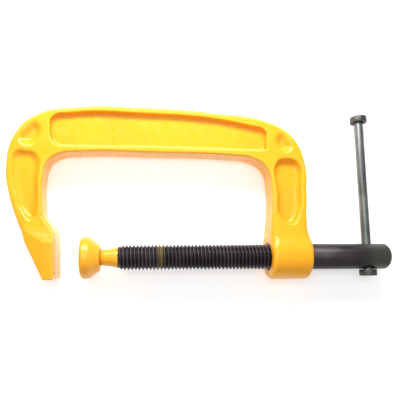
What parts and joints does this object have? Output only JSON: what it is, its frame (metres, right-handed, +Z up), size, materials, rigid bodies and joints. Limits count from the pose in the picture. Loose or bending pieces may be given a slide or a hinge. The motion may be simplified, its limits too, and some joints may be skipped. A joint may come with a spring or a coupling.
{
  "type": "c clamp",
  "caption": "Cast I-section C clamp with a threaded boss, a screw spindle with a ball-jointed swivel pad, and a sliding tommy bar through the spindle's end",
  "frame": {"origin": "centre of the fixed jaw's face, on the screw's axis", "axes": "+X along the screw from the fixed jaw towards the boss and handle, +Y across the throat towards the frame's spine, +Z up out of the side the clamp lies on"},
  "size_m": [0.2426, 0.1087, 0.0288],
  "materials": {
    "yellow_enamel": "gloss enamel over rough casting",
    "pad_enamel": "dipped gloss enamel",
    "blackened_steel": "black oxide, lightly oiled",
    "spring_steel": "drawn wire",
    "bar_steel": "bright drawn bar, worn black oxide"
  },
  "bodies": {
    "frame": {"frame": "yellow_enamel"},
    "screw_carrier": {"pad_retaining_ring": "spring_steel"},
    "spindle": {"spindle": "blackened_steel"},
    "swivel_pad": {"swivel_pad": "pad_enamel"},
    "tommy_bar": {"tommy_bar": "bar_steel", "tommy_bar_far_head": "bar_steel", "tommy_bar_near_head": "bar_steel"}
  },
  "joints": [
    {"name": "screw_feed", "type": "slide", "parent": "frame", "child": "screw_carrier", "axis": [1, 0, 0], "range_m": [0, 0.1034]},
    {"name": "spindle_turn", "type": "hinge", "parent": "screw_carrier", "child": "spindle", "pos_m": [0.1, 0, 0], "axis": [1, 0, 0], "range_deg": [0, 16110]},
    {"name": "pad_tilt", "type": "hinge", "parent": "screw_carrier", "child": "swivel_pad", "pos_m": [0.0216, 0, 0], "axis": [0, 0, 1], "range_deg": [-7, 7]},
    {"name": "tommy_bar_slide", "type": "slide", "parent": "spindle", "child": "tommy_bar", "axis": [0, -0.998, 0.0628], "range_m": [0, 0.0812]}
  ],
  "couplings": [
    {"joint": "screw_feed", "follows": "spindle_turn", "m_per_rad": 0.0003675}
  ]
}
